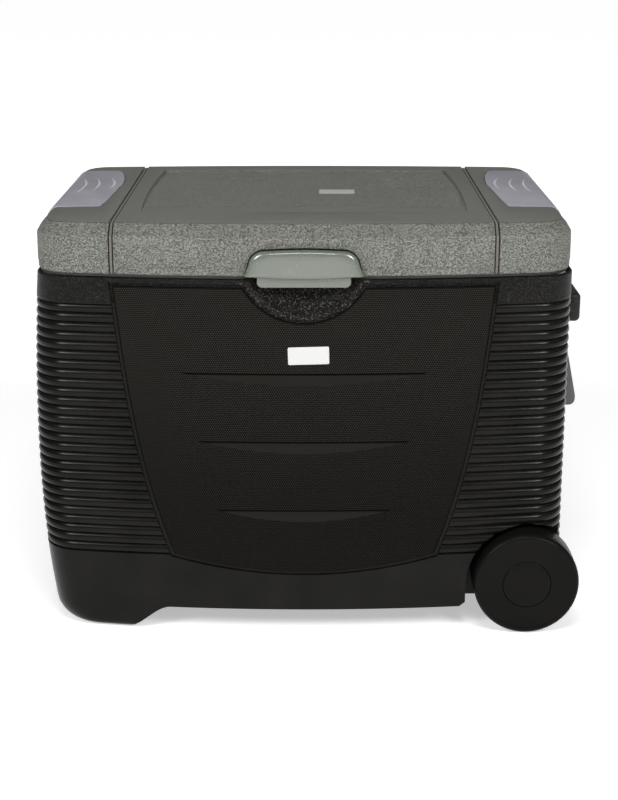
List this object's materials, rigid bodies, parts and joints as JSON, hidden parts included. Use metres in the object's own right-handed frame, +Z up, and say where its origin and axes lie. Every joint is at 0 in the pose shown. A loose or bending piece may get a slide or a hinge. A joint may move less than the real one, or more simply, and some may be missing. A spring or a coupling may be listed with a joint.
{
  "type": "compressor cooler fridge",
  "caption": "Wheeled chest cooler with a foam-filled cabinet, compressor machine space, latched lid with two flap pockets, pull-up handle and side sockets.",
  "frame": {"origin": "centre of the bounding box in plan, on the floor", "axes": "+X towards the wheel end, +Y towards the lid hinges, +Z up"},
  "size_m": [0.5734, 0.4308, 0.431],
  "materials": {
    "shell_black": "satin",
    "panel_black": "matte",
    "grain_black": "matte",
    "lid_grey": "matte",
    "gloss_grey": "gloss",
    "cover_grey": "satin",
    "flap_violet": "gloss",
    "trim_grey": "satin",
    "frame_brown": "matte",
    "liner_white": "satin",
    "foam": "matte",
    "rubber": "matte",
    "wheel_black": "satin",
    "steel": "satin",
    "aluminium": "satin",
    "copper": "satin",
    "compressor_black": "satin",
    "fan_grey": "satin",
    "display": "gloss"
  },
  "bodies": {
    "cabinet": {"outer_shell": "shell_black", "front_panel": "panel_black", "inner_liner": "liner_white", "cabinet_foam": "foam", "evaporator_sheet": "aluminium", "bulkhead": "steel", "hand_hold_cup": "shell_black", "compressor_deck": "steel", "compressor": "compressor_black", "compressor_mount_front": "rubber", "compressor_mount_rear": "rubber", "fan_frame": "shell_black", "condenser": "aluminium", "filter_drier": "copper", "suction_line": "copper", "discharge_line": "copper", "motor_controller": "aluminium", "power_supply": "steel", "rear_grille": "shell_black", "intake_grille": "shell_black", "socket_panel": "panel_black", "dc_socket": "rubber", "ac_inlet": "rubber", "display_window": "display", "cover_pin": "steel", "handle_guide": "shell_black", "axle": "steel", "rubber_foot_front": "rubber", "rubber_foot_rear": "rubber", "strike_tongue": "steel", "hinge_left_cabinet": "steel", "hinge_right_cabinet": "steel"},
    "lid": {"lid_cover": "lid_grey", "lid_end_left": "lid_grey", "lid_end_right": "lid_grey", "lid_frame": "frame_brown", "lid_foam": "foam", "lid_liner": "liner_white", "lid_seal": "rubber", "pocket_tray_left": "frame_brown", "pocket_tray_right": "frame_brown", "hinge_left_lid": "steel", "hinge_right_lid": "steel"},
    "latch": {"latch_handle": "gloss_grey", "latch_catch": "gloss_grey"},
    "flap_left": {"pocket_flap_left": "flap_violet"},
    "flap_right": {"pocket_flap_right": "flap_violet"},
    "pull_handle": {"handle_grip": "grain_black", "handle_arm_front": "steel", "handle_arm_rear": "steel"},
    "socket_cover": {"socket_cover": "cover_grey"},
    "front_wheel": {"wheel_front": "wheel_black", "hub_cap_front": "wheel_black"},
    "rear_wheel": {"wheel_rear": "wheel_black", "hub_cap_rear": "wheel_black"},
    "fan": {"fan_rotor": "fan_grey"},
    "power_key": {"power_button": "trim_grey"},
    "down_key": {"down_button": "trim_grey"},
    "up_key": {"up_button": "trim_grey"}
  },
  "joints": [
    {"name": "lid_hinge", "type": "hinge", "parent": "cabinet", "child": "lid", "pos_m": [-0.00875, 0.2106, 0.3785], "axis": [-1, 0, 0], "range_deg": [0, 95]},
    {"name": "latch_hinge", "type": "hinge", "parent": "lid", "child": "latch", "pos_m": [-0.00875, -0.2069, 0.4], "axis": [-1, 0, 0], "range_deg": [0, 30]},
    {"name": "left_flap_hinge", "type": "hinge", "parent": "lid", "child": "flap_left", "pos_m": [-0.21215, 0.0941, 0.43], "axis": [0, 1, 0], "range_deg": [0, 100]},
    {"name": "right_flap_hinge", "type": "hinge", "parent": "lid", "child": "flap_right", "pos_m": [0.19465, 0.0941, 0.43], "axis": [0, -1, 0], "range_deg": [0, 100]},
    {"name": "handle_slide", "type": "slide", "parent": "cabinet", "child": "pull_handle", "axis": [0, 0, 1], "range_m": [0, 0.19]},
    {"name": "socket_cover_hinge", "type": "hinge", "parent": "cabinet", "child": "socket_cover", "pos_m": [0.26545, 0.0041, 0.3085], "axis": [0, -1, 0], "range_deg": [0, 85]},
    {"name": "front_wheel_spin", "type": "hinge", "parent": "cabinet", "child": "front_wheel", "pos_m": [0.22225, -0.1894, 0.0547], "axis": [0, 1, 0], "continuous": true},
    {"name": "rear_wheel_spin", "type": "hinge", "parent": "cabinet", "child": "rear_wheel", "pos_m": [0.22225, 0.1861, 0.0547], "axis": [0, 1, 0], "continuous": true},
    {"name": "fan_spin", "type": "hinge", "parent": "cabinet", "child": "fan", "pos_m": [0.19725, 0.1221, 0.255], "axis": [0, 1, 0], "continuous": true},
    {"name": "power_press", "type": "slide", "parent": "cabinet", "child": "power_key", "axis": [-1, 0, 0], "range_m": [0, 0.0015], "stiffness_N_per_m": 200},
    {"name": "down_press", "type": "slide", "parent": "cabinet", "child": "down_key", "axis": [-1, 0, 0], "range_m": [0, 0.0015], "stiffness_N_per_m": 200},
    {"name": "up_press", "type": "slide", "parent": "cabinet", "child": "up_key", "axis": [-1, 0, 0], "range_m": [0, 0.0015], "stiffness_N_per_m": 200}
  ]
}
